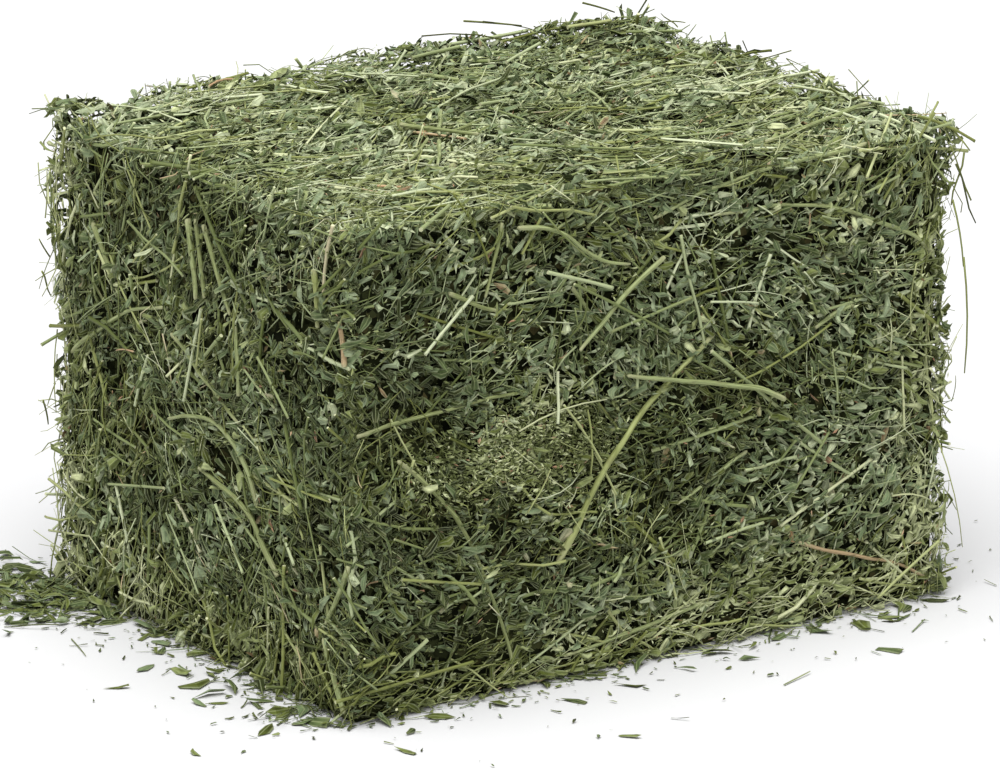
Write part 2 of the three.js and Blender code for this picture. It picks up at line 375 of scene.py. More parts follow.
# Each slot's colour along the stem, its streaks and the share of brown wear on it.
STEM_COLOURS = {
    "stem_pale": ((0.180, 0.215, 0.080), (0.345, 0.398, 0.182), 0.25),
    "stem_green": ((0.150, 0.178, 0.060), (0.280, 0.320, 0.135), 0.2),
    "stem_gold": ((0.200, 0.226, 0.068), (0.345, 0.385, 0.150), 0.2),
    "stem_tan": ((0.33, 0.23, 0.12), (0.5, 0.38, 0.22), 0.4),
}


STEM_WEAR = (0.13, 0.11, 0.05, 1)
STEM_END = (0.4, 0.4, 0.23, 1)


def loose_stem(name, dark, light, wear):
    """A thick dry stem: ribbed and streaked along, blotched, and paler at its cut ends."""
    tree = new_tree(name)
    card = add_node(tree, "ShaderNodeUVMap", {"uv_map": CARD}).outputs["UV"]
    along = add_node(tree, "ShaderNodeSeparateXYZ", Vector=card).outputs["Y"]
    streaks = remapped(tree, grain(tree, card, 11, 5, 4), 0.35, 0.65)
    base = blend_colours(tree, "MIX", streaks, (*dark, 1), (*light, 1))
    worn = remapped(tree, grain(tree, card, 2, 14, 3), 0.52, 0.7, to_high=2 * wear)
    browned = blend_colours(tree, "MIX", worn, base, STEM_WEAR)
    from_middle = maths(tree, "ABSOLUTE", maths(tree, "SUBTRACT", along, 0.5))
    end = remapped(tree, from_middle, 0.36, 0.5, to_high=0.75)
    colour = blend_colours(tree, "MIX", end, browned, STEM_END)
    finish_paint(tree, colour, 0.5, 0.25, waves(tree, card, "X", 2.2, 1.5), 0.5, 0.5 * MM)


# Painted shade: the matted hay is coloured near black to stand for the shade deep in the gaps between the
# pieces.
PRESSED_SHADE_TONES = (
    (0.0, (0.004, 0.005, 0.002)),
    (0.5, (0.014, 0.017, 0.006)),
    (0.85, (0.040, 0.046, 0.017)),
    (1.0, (0.070, 0.060, 0.024)),
)


def pressed_hay_painted_shade(name):
    """The matted hay in the gaps between the pieces on the faces, coloured near black as painted shade for
    the deep gaps.
    """
    tree = new_tree(name)
    place = add_node(tree, "ShaderNodeTexCoord").outputs["Object"]
    bits = add_node(tree, "ShaderNodeTexVoronoi", {"feature": "F1"}, Vector=place, Scale=170, Randomness=1)
    tint = add_node(tree, "ShaderNodeSeparateColor", Color=bits.outputs["Color"])
    fine = add_node(tree, "ShaderNodeTexNoise", Vector=place, Scale=260, Detail=3)
    colour = ramp(tree, tint.outputs["Red"], PRESSED_SHADE_TONES)
    finish_paint(tree, colour, 0.9, 0.05, fine.outputs["Fac"], 0.8, 2 * MM)


def material_named(name, make, *looks):
    """The material of this name, made the first time that it is asked for."""
    if name not in bpy.data.materials:
        make(name, *looks)
    return bpy.data.materials[name]


# --- The bale's surface --------------------------------------------------------------------


def patches(places, size, seed):
    """A smooth random field with patches about `size` across: mean 0 and deviation 1."""
    waves = 16
    rng = np.random.default_rng(seed)
    ways = rng.normal(size=(waves, 3))
    ways *= rng.uniform(0.7, 1.4, (waves, 1)) * math.pi / size / np.linalg.norm(ways, axis=1)[:, None]
    phases = rng.uniform(0, 2 * math.pi, waves)
    return np.sin(places @ ways.T + phases).sum(1) * math.sqrt(2 / waves)


# Each side of the bale: the axis that it faces along, which way, the axes across and up it, and
# how thickly it is covered. The camera sees the first three, and the last one is the underside.
Side = namedtuple("Side", "axis sign across up cover")
SIDES = (
    Side(1, -1, 0, 2, 1.0),
    Side(0, -1, 1, 2, 1.0),
    Side(2, 1, 0, 1, 1.0),
    Side(1, 1, 0, 2, 0.62),
    Side(0, 1, 1, 2, 0.62),
    Side(2, -1, 0, 1, 0.2),
)
FRONT, LEFT, TOP, BACK, RIGHT, UNDER = range(len(SIDES))

# Hollows where hay has fallen out, and mounds where the depth is negative: side, place across
# and up it from its low corner, half sizes and depth in millimetres. Across runs along +X on the
# front and the top and along +Y on the left side.
Hollow = namedtuple("Hollow", "side across up width height depth")
HOLLOWS_IN_MM = (
    (LEFT, 62, 272, 24, 10, 14),
    (LEFT, 94, 262, 12, 8, 9),
    (LEFT, 306, 178, 20, 10, 11),
    (LEFT, 268, 150, 14, 9, 8),
    (LEFT, 160, 150, 20, 12, 10),
    (LEFT, 262, 258, 26, 7, 8),
    (LEFT, 30, 232, 9, 9, 8),
    (FRONT, 290, 133, 10, 7, 8),
    (FRONT, 268, 86, 9, 6, 7),
    (FRONT, 28, 250, 10, 9, 8),
    (FRONT, 72, 234, 16, 8, 8),
    (FRONT, 196, 268, 9, 7, 7),
    (TOP, 150, 118, 14, 10, 6),
    (TOP, 392, 240, 18, 12, 6),
    (TOP, 190, 388, 200, 60, -8),
    (TOP, 14, 382, 34, 24, -7),
    (TOP, 490, 380, 60, 40, -4),
    (BACK, 180, 210, 20, 9, 9),
    (RIGHT, 240, 180, 16, 10, 9),
)
HOLLOWS = [Hollow(side, *(size * MM for size in sizes)) for side, *sizes in HOLLOWS_IN_MM]


# Parts of the faces where one kind of hay prevails: side, low corner and high corner as places
# across and up it in millimetres, how many times as much leaf, chaff and stalk lies there, how
# far the tones are shifted, how much more of it is olive, and the angle that pieces are combed
# to.
Zone = namedtuple("Zone", "side low high leaf chaff stalk tone olive angle")
ANY_WAY = None
ZONES_IN_MM = (
    (FRONT, (55, 140), (225, 200), 0.3, 3.0, 0.6, 0.06, 0.6, ANY_WAY),
    (FRONT, (-40, -20), (540, 38), 0.7, 1.1, 1.7, 0.07, 0.7, 10 * DEGREE),
    (FRONT, (270, -20), (540, 58), 0.9, 1.1, 1.4, 0.08, 0.5, 8 * DEGREE),
    (FRONT, (330, -20), (480, 62), 1.0, 1.0, 1.0, 0.18, 0.3, ANY_WAY),
    (FRONT, (470, 20), (540, 345), 0.8, 1.1, 1.5, 0.12, 0.7, 80 * DEGREE),
    (FRONT, (390, 280), (540, 350), 1.0, 1.0, 1.0, 0.07, 0.5, ANY_WAY),
    (FRONT, (-20, -20), (90, 250), 1.1, 1.0, 0.9, -0.1, 0.0, ANY_WAY),
    (FRONT, (65, 25), (160, 105), 1.1, 1.0, 0.8, -0.13, -0.1, ANY_WAY),
    (FRONT, (40, 195), (150, 250), 1.1, 0.9, 0.8, -0.08, -0.1, ANY_WAY),
    (FRONT, (340, 56), (500, 160), 1.3, 0.8, 0.6, 0.12, -0.2, ANY_WAY),
    (FRONT, (60, 215), (300, 300), 1.25, 0.8, 0.8, 0.0, -0.1, ANY_WAY),
    (FRONT, (270, 210), (480, 325), 1.2, 0.8, 0.8, 0.1, -0.2, ANY_WAY),
    (LEFT, (250, 236), (372, 340), 0.8, 0.8, 1.8, 0.06, 0.2, 84 * DEGREE),
    (LEFT, (285, 240), (345, 352), 1.2, 0.8, 0.8, -0.12, -0.2, ANY_WAY),
    (LEFT, (120, 200), (250, 330), 0.8, 0.9, 1.6, 0.0, 0.1, 74 * DEGREE),
    (LEFT, (360, 20), (410, 330), 0.7, 1.1, 1.6, 0.14, 0.7, 90 * DEGREE),
    (LEFT, (-20, -20), (410, 42), 0.7, 1.1, 1.7, 0.12, 0.7, 75 * DEGREE),
    (LEFT, (-20, -20), (70, 250), 1.1, 1.0, 0.9, -0.07, 0.0, ANY_WAY),
    (LEFT, (250, 80), (372, 200), 0.85, 1.1, 1.5, 0.0, 0.2, 72 * DEGREE),
    (LEFT, (60, 60), (250, 140), 1.1, 1.0, 1.0, -0.06, -0.2, ANY_WAY),
    (TOP, (40, 30), (480, 360), 1.0, 1.3, 1.3, 0.03, 0.0, 5 * DEGREE),
    (TOP, (50, -20), (420, 120), 0.8, 1.0, 1.9, -0.03, 0.2, -28 * DEGREE),
    (TOP, (410, 60), (540, 410), 1.0, 1.0, 1.0, -0.06, 0.2, ANY_WAY),
    (BACK, (-40, -20), (540, 40), 0.7, 1.1, 1.7, 0.05, 0.6, 10 * DEGREE),
    (RIGHT, (-20, -20), (410, 45), 0.7, 1.1, 1.7, 0.04, 0.6, 75 * DEGREE),
)
ZONES = [
    Zone(side, np.array(low) * MM, np.array(high) * MM, *ways)
    for side, low, high, *ways in ZONES_IN_MM
]
CRUSHED_PATCH = ZONES[0]


def zones_over(spots):
    """Each zone and which of the spots are in it, its edge broken up by their blur."""
    for zone in ZONES:
        (left, low), (right, high) = zone.low, zone.high
        inside = np.minimum.reduce(
            [spots.across - left, right - spots.across, spots.up - low, high - spots.up]
        )
        yield zone, (spots.side == zone.side) & (inside > spots.blur)


def sink_in_hollows(side, across, up):
    """How deep the surface sinks at each place on a side: less than 0 on a mound."""
    depth = np.zeros(len(across))
    for hollow in HOLLOWS:
        apart = ((across - hollow.across) / hollow.width) ** 2 + ((up - hollow.up) / hollow.height) ** 2
        depth += np.where(side == hollow.side, hollow.depth * np.exp(-1.2 * apart**2), 0)
    return depth


def rounded(places):
    """Places on the bale's box moved onto its round edges, and the way each one faces."""
    rim = np.full((len(places), 3), EDGE_ROUND)
    rim[:, 2] = np.where(places[:, 2] < (LOW[2] + HIGH[2]) / 2, BASE_ROUND, EDGE_ROUND)
    inner = np.clip(places, LOW + rim, HIGH - rim)
    out = (places - inner) / rim
    out /= np.linalg.norm(out, axis=1)[:, None]
    on_face = inner + rim * out
    facing = out / rim
    return on_face, facing / np.linalg.norm(facing, axis=1)[:, None]


def lumps(places):
    """The lumps in the pressed hay, broad ones and knots."""
    broad = 1.8 * MM * patches(places, 75 * MM, 11)
    knots = 1.6 * MM * patches(places, 26 * MM, 12) + 1.0 * MM * patches(places, 11 * MM, 13)
    return np.clip(broad + knots, -7 * MM, 4.5 * MM)


def surface_rise(places, facing):
    """How far the surface stands out at each place: its face's crown and the lumps in the hay."""
    middle, half = (LOW + HIGH) / 2, SIZE / 2
    off = np.clip(np.abs((places - middle) / half), 0, 1)
    away = 1 - np.clip(np.abs(facing), 0, 1)
    crown = np.prod(1 - away * off**2, axis=1) * CROWN
    flat_below = np.where(facing[:, 2] < -0.5, RELIEF_BENEATH, 1.0)
    return (crown - CROWN + lumps(places) - SURFACE_DROP) * flat_below


# Where pieces lie: the side of each, its place across and up that side, the point on the bale's
# box, the axis across its side and the blur of the zones' edges there.
Spots = namedtuple("Spots", "side across up point tangent blur")


def spots_at(side, across, up):
    """The spots at places across and up their sides."""
    points = np.zeros((len(side), 3))
    tangent = np.zeros((len(side), 3))
    for index, s in enumerate(SIDES):
        own = side == index
        points[own, s.across] = LOW[s.across] + across[own]
        points[own, s.up] = LOW[s.up] + up[own]
        points[own, s.axis] = HIGH[s.axis] if s.sign > 0 else LOW[s.axis]
        tangent[own, s.across] = 1
    blur = 9 * MM * patches(points, 22 * MM, 5)
    return Spots(side, across, up, points, tangent, blur)


def random_spots(rng, count, kind):
    """Random spots over the bale, more of them in the patches and zones where this kind prevails."""
    pool = 3 * count
    areas = np.array([s.cover * SIZE[s.across] * SIZE[s.up] for s in SIDES])
    side = rng.choice(len(SIDES), pool, p=areas / areas.sum())
    across = rng.random(pool) * SIZE[[s.across for s in SIDES]][side]
    up = rng.random(pool) * SIZE[[s.up for s in SIDES]][side]
    spots = spots_at(side, across, up)
    leafy = patches(spots.point, 48 * MM, 6)
    liking = {"leaf": 0.35, "chaff": -0.2, "stalk": -0.4}[kind]
    weight = np.exp(liking * leafy)
    for zone, inside in zones_over(spots):
        weight = np.where(inside, weight * getattr(zone, kind), weight)
    weight *= np.exp(-90 * np.maximum(sink_in_hollows(side, across, up), 0))
    kept = rng.choice(pool, count, replace=False, p=weight / weight.sum())
    return Spots(*(part[kept] for part in spots))


def crushed_spots(rng, count):
    """Random spots in the patch of crushed hay, thinning out towards its edge."""
    low, high = CRUSHED_PATCH.low, CRUSHED_PATCH.high
    spread = rng.normal(0, 0.3, (count, 2))
    places = (low + high) / 2 + np.clip(spread, -0.75, 0.75) * (high - low)
    return spots_at(np.full(count, CRUSHED_PATCH.side), places[:, 0], places[:, 1])


# --- Strands: the shapes that are laid by the thousand -----------------------------------

# A strand shape: how far along each vertex is, its place in the section, the way the strand
# sways there, the triangles, their places on the card and which of them are smooth.
Strand = namedtuple("Strand", "along section sway faces card smooth")

SECTION_TURN = 20 * DEGREE


def strand_shape(sides, stations, radii, sway, turned=True, ragged=0.0, seed=0):
    """A closed strand along Z with rings at the stations, pointed where the end radius is 0."""
    bm = bmesh.new()
    bmesh.ops.create_cone(bm, cap_ends=True, segments=sides, radius1=0.5, radius2=0.5, depth=1)
    if turned:
        bmesh.ops.rotate(bm, verts=bm.verts, cent=(0, 0, 0), matrix=Matrix.Rotation(SECTION_TURN, 3, "Z"))
    lengthwise = [e for e in bm.edges if abs(e.verts[0].co.z - e.verts[1].co.z) > 0.5]
    bmesh.ops.subdivide_edges(bm, edges=lengthwise, cuts=len(stations) - 2, use_grid_fill=True)
    for end, radius in ((-0.5, radii[0]), (0.5, radii[-1])):
        ring = [v for v in bm.verts if abs(v.co.z - end) < 1e-4]
        if radius == 0:
            bmesh.ops.pointmerge(bm, verts=ring, merge_co=(0, 0, end))
    bmesh.ops.triangulate(bm, faces=bm.faces)
    bmesh.ops.recalc_face_normals(bm, faces=bm.faces)
    bm.verts.index_update()
    even = np.linspace(0, 1, len(stations))
    co = np.array([v.co for v in bm.verts])
    along = np.interp(co[:, 2] + 0.5, even, stations)
    section = co[:, :2] * np.interp(along, stations, radii)[:, None]
    section *= 1 + ragged * np.random.default_rng(seed).uniform(-1, 1, section.shape)
    faces = np.array([[v.index for v in f.verts] for f in bm.faces])
    is_end = np.array([abs(f.normal.z) > 0.9 for f in bm.faces])
    bm.free()
    side_place = 0.5 + co[faces][:, :, 0]
    end_place = END_BAND * (0.45 + 0.8 * co[faces][:, :, 1])
    lengthways = END_BAND + (1 - END_BAND) * along[faces]
    card = np.stack([side_place, np.where(is_end[:, None], end_place, lengthways)], 2)
    return Strand(along, section, np.array([sway(t) for t in along]), faces, card, ~is_end)


# How the middle line of a strand sways sideways and out, from one end (0) to the other (1).


def curl(t):
    return (0.05 * math.sin(5 * t), 0.5 - 2 * (t - 0.5) ** 2)


def bow(t):
    return (2 * t * (1 - t), 0.3 * math.sin(3 * t))


def wriggle(t):
    return (0.5 * math.sin(2 * math.pi * t), 0.4 * math.cos(4 * t))


def kink(t):
    return (0.6 * (0.6 - abs(t - 0.6)), 0.25 * abs(t - 0.35))


TORN_OUTLINES = (
    ((0, 0.35, 0.75, 1), (0, 0.9, 0.75, 0)),
    ((0, 0.15, 0.8, 1), (0, 0.8, 1.0, 0)),
    ((0, 0.5, 0.85, 1), (0, 0.75, 1.0, 0)),
    ((0, 0.3, 0.65, 1), (0, 0.6, 0.45, 0)),
    ((0, 0.6, 1), (0, 1.0, 0.75)),
    ((0, 0.45, 1), (0.7, 1.0, 0.5)),
)
LEAF_SHAPES = tuple(
    strand_shape(3, stations, radii, sway, turned=False, ragged=0.4, seed=10 * number + index)
    for number, (stations, radii) in enumerate(TORN_OUTLINES)
    for index, sway in enumerate((curl, bow, wriggle))
)
WHOLE_LEAF_SHAPES = (
    strand_shape(3, (0, 0.12, 0.45, 0.75, 0.92, 1), (0, 0.35, 0.85, 1.0, 0.7, 0), curl, False, 0.12, 3),
    strand_shape(3, (0, 0.2, 0.5, 0.7, 0.9, 1), (0, 0.7, 1.0, 0.9, 0.5, 0), bow, False, 0.12, 4),
    strand_shape(3, (0, 0.1, 0.4, 0.7, 0.9, 1), (0, 0.3, 0.7, 1.0, 0.9, 0), wriggle, False, 0.2, 5),
)
CHAFF_SHAPES = tuple(
    strand_shape(3, (0, middle, 1), (0, 1.0, 0), curl, ragged=0.3, seed=seed)
    for seed, middle in enumerate((0.3, 0.5, 0.7))
)
STALK_SHAPES = tuple(
    strand_shape(3, (0, 0.25, 0.5, 0.75, 1), (1.0, 0.9, 0.85, 0.8, 0.6), sway)
    for sway in (bow, wriggle, kink)
)
JOINTED_STEM = ((0, 0.04, 0.3, 0.34, 0.38, 0.7, 0.96, 1), (1, 0.92, 0.85, 1.12, 0.88, 0.85, 0.9, 1))
STEM_SHAPES = tuple(strand_shape(6, *JOINTED_STEM, sway) for sway in (bow, wriggle, kink))

# What would lie under the floor is squeezed into a thin layer on it.
FLOOR_LAYER = 1.2 * MM
FLOOR_SQUEEZE = 4 * MM

# One kind of piece to lay: everything that differs from one piece to the next, as arrays.
Lay = namedtuple("Lay", "point axes length width depth sway tone row shape")


def frames_on(facing, tangent, angle, tilt, roll):
    """Axes across, along and out of each piece, turned by angle in its face and then tilted."""
    right = tangent - (tangent * facing).sum(1)[:, None] * facing
    short = np.linalg.norm(right, axis=1) < 0.1
    right[short] = np.cross(facing[short], (0, 0, 1.0)) + (1e-3, 0, 0)
    right /= np.linalg.norm(right, axis=1)[:, None]
    ahead = np.cross(facing, right)
    along = np.cos(angle)[:, None] * right + np.sin(angle)[:, None] * ahead
    across = np.cross(along, facing)
    lifted = np.cos(tilt)[:, None] * along + np.sin(tilt)[:, None] * facing
    out = np.cross(across, lifted)
    rolled = np.cos(roll)[:, None] * across + np.sin(roll)[:, None] * out
    return np.stack([rolled, lifted, np.cross(rolled, lifted)], 2)


def joined(name, lays, smooth_sides):
    """One mesh object with every piece of the lays."""
    points, faces, cards, smooth = [], [], [], []
    count = 0
    for lay, shapes in lays:
        for index, shape in enumerate(shapes):
            own = lay.shape == index
            pieces = int(own.sum())
            if not pieces:
                continue
            length, sway = lay.length[own, None], lay.sway[own, None]
            local = np.stack(
                [
                    shape.section[:, 0] * lay.width[own, None] + shape.sway[:, 0] * length * sway,
                    (shape.along - 0.5) * length,
                    shape.section[:, 1] * lay.depth[own, None] + shape.sway[:, 1] * length * sway,
                ],
                2,
            )
            placed = np.einsum("pij,pvj->pvi", lay.axes[own], local) + lay.point[own, None, :]
            points.append(placed.reshape(-1, 3))
            offsets = count + np.arange(pieces)[:, None, None] * len(shape.along)
            faces.append((shape.faces + offsets).reshape(-1, 3))
            corner = np.stack([lay.tone[own], lay.row[own]], 1)[:, None, None, :]
            inside = CARD_EDGE + (1 - 2 * CARD_EDGE) * shape.card
            cards.append(((corner + inside) / (TONES, ROWS)).reshape(-1, 2))
            smooth.append(np.tile(shape.smooth & smooth_sides, pieces))
            count += pieces * len(shape.along)
    return mesh_object(name, *(np.concatenate(part) for part in (points, faces, cards, smooth)))


def mesh_object(name, points, faces, cards, smooth):
    """A mesh object from arrays of triangles."""
    mesh = bpy.data.meshes.new(name)
    mesh.vertices.add(len(points))
    mesh.vertices.foreach_set("co", pressed_on_floor(points).astype(np.float32).ravel())
    mesh.loops.add(3 * len(faces))
    mesh.loops.foreach_set("vertex_index", faces.astype(np.int32).ravel())
    mesh.polygons.add(len(faces))
    mesh.polygons.foreach_set("loop_start", np.arange(0, 3 * len(faces), 3, dtype=np.int32))
    mesh.update(calc_edges=True)
    mesh.polygons.foreach_set("use_smooth", smooth)
    mesh.uv_layers.new(name=CARD)
    mesh.uv_layers[CARD].uv.foreach_set("vector", cards.astype(np.float32).ravel())
    return placed(name, mesh)


def placed(name, data):
    """A new object of this name in the scene."""
    thing = bpy.data.objects.new(name, data)
    bpy.context.scene.collection.objects.link(thing)
    return thing


def shown(name, bm):
    """A new object with a shape that is done."""
    mesh = bpy.data.meshes.new(name)
    bm.to_mesh(mesh)
    bm.free()
    return placed(name, mesh)


def merged_copy(name):
    """A copy of a CAD node's shape, its loose triangles merged."""
    bm = bmesh.new()
    bm.from_mesh(frame["nodes"][name].data)
    bmesh.ops.remove_doubles(bm, verts=bm.verts, dist=0.01 * MM)
    return bm


def pressed_on_floor(points):
    """Points near or under the floor squeezed into a thin layer on it."""
    pressed = points.copy()
    low = points[:, 2] < FLOOR_LAYER
    pressed[low, 2] = FLOOR_LAYER * np.exp((points[low, 2] - FLOOR_LAYER) / FLOOR_SQUEEZE)
    return pressed


# --- Laying the hay ------------------------------------------------------------------------

# Most of the hay lies under the thick loose stems. A few bits have stayed on them.
STEM_CLEARANCE = 2.5 * MM
STEM_DEPTH = 1.5 * MM
TOP_STEM_DEPTH = 2.5 * MM
VALLEY_SLOPE = 0.2
SHARE_UNDER_STEMS = 0.9
STEM_NEARNESS = 12 * MM

# How far the ends of long pieces may reach past the faces.
STALK_REACH = 9 * MM

# Of the pieces these shares lie level, in swirls and combed, with this much stray.
LEVEL_SHARE, LEVEL_STRAY = 0.35, 32 * DEGREE
SWIRL_SHARE, SWIRL_STRAY = 0.35, 20 * DEGREE
COMBED_SHARE, COMBED_STRAY = 0.56, 24 * DEGREE

# Tones run from 0 to 1. Up to the highest plain tone a piece is green or bleached, and above it
# reddened or browned.
HIGHEST_PLAIN_TONE = 0.89
RED_TONES = (0.92, 1)
PALE_TONES = (0.56, 0.84)
# Painted light: the tones on the top are lifted so that the top looks more brightly lit than the sides.
TOP_PAINTED_LIGHT = 0.15
# Painted shade: pieces in the hollows are darkened, more so the deeper the hollow.
HOLLOW_SHADE = 11
OLIVE_SHARE = 0.22

# Pieces stand out in clumps, more of them towards the edges and fewer on the top.
CLUMPING = 0.9
EDGE_FLUFF = 2.5
TOP_FLUFF = 0.6
STANDING_TILT = (20, 65)
ROLL_SPREAD = 0.6
TILT_BENEATH = 0.2
EDGE_REACH = 40 * MM


def lognormal(rng, middle, spread, low, high, count):
    """Sizes about a middle one, none below the low limit or above the high one."""
    return np.clip(middle * np.exp(rng.normal(0, spread, count)), low, high)


def nearness_to_edge(places):
    """1 at an edge of the bale and 0 from 40 mm away."""
    gaps = np.sort(np.minimum(places - LOW, HIGH - places), axis=1)[:, 1]
    return 1 - np.clip(gaps / EDGE_REACH, 0, 1)


def lie_of_the_hay(rng, spots):
    """The angle each piece lies at in its side: mostly any way, but combed in some zones."""
    count = len(spots.side)
    angle = rng.uniform(-math.pi, math.pi, count)
    level = rng.normal(0, LEVEL_STRAY, count)
    angle = np.where((rng.random(count) < LEVEL_SHARE) & (spots.side != LEFT), level, angle)
    swirl = 50 * DEGREE * patches(spots.point, 120 * MM, 7)
    angle = np.where(rng.random(count) < SWIRL_SHARE, swirl + rng.normal(0, SWIRL_STRAY, count), angle)
    combed = rng.random(count) < COMBED_SHARE
    stray = rng.normal(0, COMBED_STRAY, count)
    for zone, inside in zones_over(spots):
        if zone.angle is not ANY_WAY:
            angle = np.where(inside & combed, zone.angle + stray, angle)
    return angle


def drawn_tones(rng, count, middle, spread, reddened=0, pale=0):
    """Random tones, with these shares of them reddened or pale."""
    if pale:
        tones = np.where(
            rng.random(count) < pale, rng.uniform(*PALE_TONES, count), rng.normal(middle, spread, count)
        )
    else:
        tones = rng.normal(middle, spread, count)
    if reddened:
        red = rng.random(count) < reddened
        tones = np.where(red, rng.uniform(*RED_TONES, count), np.minimum(tones, HIGHEST_PLAIN_TONE))
    return tones


def card_columns(tones):
    """The card's columns for tones."""
    return np.clip((tones * TONES).astype(int), 0, TONES - 1)


def tones_at(spots, tones):
    """The tones of pieces: shifted by patches and by zones, lifted on the top as painted light, and
    darkened in the hollows as painted shade.
    """
    shift = 0.055 * patches(spots.point, 110 * MM, 21) + 0.08 * patches(spots.point, 34 * MM, 22)
    for zone, inside in zones_over(spots):
        shift = shift + np.where(inside, zone.tone, 0)
    shift = shift + np.where(spots.side == TOP, TOP_PAINTED_LIGHT, 0)
    shift = shift - HOLLOW_SHADE * np.maximum(sink_in_hollows(spots.side, spots.across, spots.up), 0)
    plain = np.minimum(tones + shift, HIGHEST_PLAIN_TONE)
    return np.where(tones > HIGHEST_PLAIN_TONE, tones, plain)


def rows_at(rng, spots):
    """The card rows of pieces: the upper half where they are olive."""
    share = OLIVE_SHARE + 0.16 * patches(spots.point, 45 * MM, 23)
    for zone, inside in zones_over(spots):
        share = share + np.where(inside, zone.olive, 0)
    olive = rng.random(len(share)) < share
    return rng.integers(0, ROWS // 2, len(share)) + np.where(olive, ROWS // 2, 0)


def stem_tree():
    """A search tree of the loose stems' corners."""
    places = [place for name in LOOSE_STEMS for place in cut_finer(name)]
    tree = KDTree(len(places))
    for index, place in enumerate(places):
        tree.insert(place, index)
    tree.balance()
    return tree


def cut_finer(name):
    """The places of a CAD node's vertices, once its long edges are cut into short ones."""
    bm = merged_copy(name)
    bmesh.ops.subdivide_edges(bm, edges=bm.edges, cuts=5, use_grid_fill=False)
    places = [v.co.copy() for v in bm.verts]
    bm.free()
    return places


def under_stems(rng, points, facing, lifted, length):
    """The heights of pieces, most of them pushed down into a shallow valley under a stem."""
    tree = stem_tree()
    near = np.array([tree.find(Vector(point))[0] for point in points])
    apart = near - points
    height = (apart * facing).sum(1)
    sideways = np.linalg.norm(apart - height[:, None] * facing, axis=1)
    beside = np.maximum(sideways - STEM_CLEARANCE - 0.25 * length, 0)
    depth = STEM_DEPTH + TOP_STEM_DEPTH * np.maximum(facing[:, 2], 0)
    valley = height - depth + VALLEY_SLOPE * beside
    covering = (np.abs(height) < STEM_NEARNESS) & (rng.random(len(points)) < SHARE_UNDER_STEMS)
    return np.where(covering, np.minimum(lifted, valley), lifted)


def lay_pieces(rng, kind, shapes, length, width, tilt, *, thickness, height, tones, fluffy, bend=0.16):
    """Pieces of one kind laid over the bale, or over the crushed patch if they are crushed.

    Each piece has its own length, width and tilt. The thickness is a range of shares of the
    width, and the height is the middle, spread, lowest and highest one in millimetres.
    """
    count = len(length)
    depth = width * rng.uniform(*thickness, count)
    middle, spread, lowest, highest = np.array(height) * MM
    offset = np.clip(rng.normal(middle, spread, count), lowest, highest)
    tones = drawn_tones(rng, count, **tones)
    spots = crushed_spots(rng, count) if kind == "crushed" else random_spots(rng, count, kind)
    points, facing = rounded(spots.point)
    angle = lie_of_the_hay(rng, spots)
    clumps = np.exp(CLUMPING * patches(spots.point, 15 * MM, 24))
    edges = 1 + EDGE_FLUFF * nearness_to_edge(spots.point)
    chance = bpy.context.scene.hay.fluff * fluffy * edges * clumps
    standing = rng.random(count) < np.where(spots.side == TOP, TOP_FLUFF, 1) * chance
    stood_up = rng.uniform(*STANDING_TILT, count) * DEGREE
    steep = np.where(standing, stood_up, rng.normal(0, 1, count) * tilt)
    steep = np.where(spots.side == UNDER, steep * TILT_BENEATH, steep)
    roll = rng.normal(0, ROLL_SPREAD, count)
    rise = surface_rise(points, facing) - sink_in_hollows(spots.side, spots.across, spots.up)
    lifted = rise + offset + np.where(standing, 0.25 * length * np.sin(np.abs(steep)), 0)
    lifted = under_stems(rng, points, facing, lifted, length)
    return Lay(
        points + facing * lifted[:, None],
        frames_on(facing, spots.tangent, angle, steep, roll),
        length,
        width,
        depth,
        rng.uniform(-1, 1, count) * bend,
        card_columns(tones_at(spots, tones)),
        rows_at(rng, spots),
        rng.integers(0, len(shapes), count),
    )


def slid_inward(lay, side_reach):
    """Long pieces slid along so that their ends stay near the faces that they lie on."""
    half = lay.axes[:, :, 1] * lay.length[:, None] / 2
    low, high = LOW - side_reach, HIGH + side_reach
    ends = np.stack([lay.point - half, lay.point + half])
    under = np.maximum(low - ends.min(0), 0)
    over = np.maximum(ends.max(0) - high, 0)
    return lay._replace(point=lay.point + under - over)


def only(lay, kept):
    """Some of the pieces of a lay."""
    return Lay(*(part[kept] for part in lay))


def leaf_lays(rng):
    """Torn leaves and whole leaflets."""
    hay = bpy.context.scene.hay
    length = lognormal(rng, hay.leaf_length, 0.34, 5 * MM, 19 * MM, hay.leaves)
    width = length * rng.uniform(0.2, 0.5, hay.leaves)
    torn = lay_pieces(
        rng, "leaf", LEAF_SHAPES, length, width, 24 * DEGREE, thickness=(0.1, 0.7),
        height=(-2.2, 2.2, -8, 2), tones={"middle": 0.48, "spread": 0.255, "reddened": 0.012},
        fluffy=0.8, bend=0.5,
    )
    length = lognormal(rng, 14 * MM, 0.18, 10 * MM, 20 * MM, hay.whole_leaves)
    width = length * rng.uniform(0.32, 0.5, hay.whole_leaves)
    whole = lay_pieces(
        rng, "leaf", WHOLE_LEAF_SHAPES, length, width, 15 * DEGREE, thickness=(0.1, 0.35),
        height=(-1.2, 1.4, -5, 1.5), tones={"middle": 0.42, "spread": 0.15}, fluffy=0.2, bend=0.5,
    )
    return torn, whole


def chaff_lay(rng):
    """Chaff, part of it pale."""
    count = bpy.context.scene.hay.chaff
    length = rng.uniform(2.0, 6.5, count) * MM
    width = length * rng.uniform(0.15, 0.38, count)
    tones = {"middle": 0.46, "spread": 0.18, "reddened": 0.02, "pale": 0.38}
    return lay_pieces(
        rng, "chaff", CHAFF_SHAPES, length, width, 30 * DEGREE, thickness=(0.3, 0.8),
        height=(-0.3, 2.0, -6, 2.8), tones=tones, fluffy=0.6,
    )


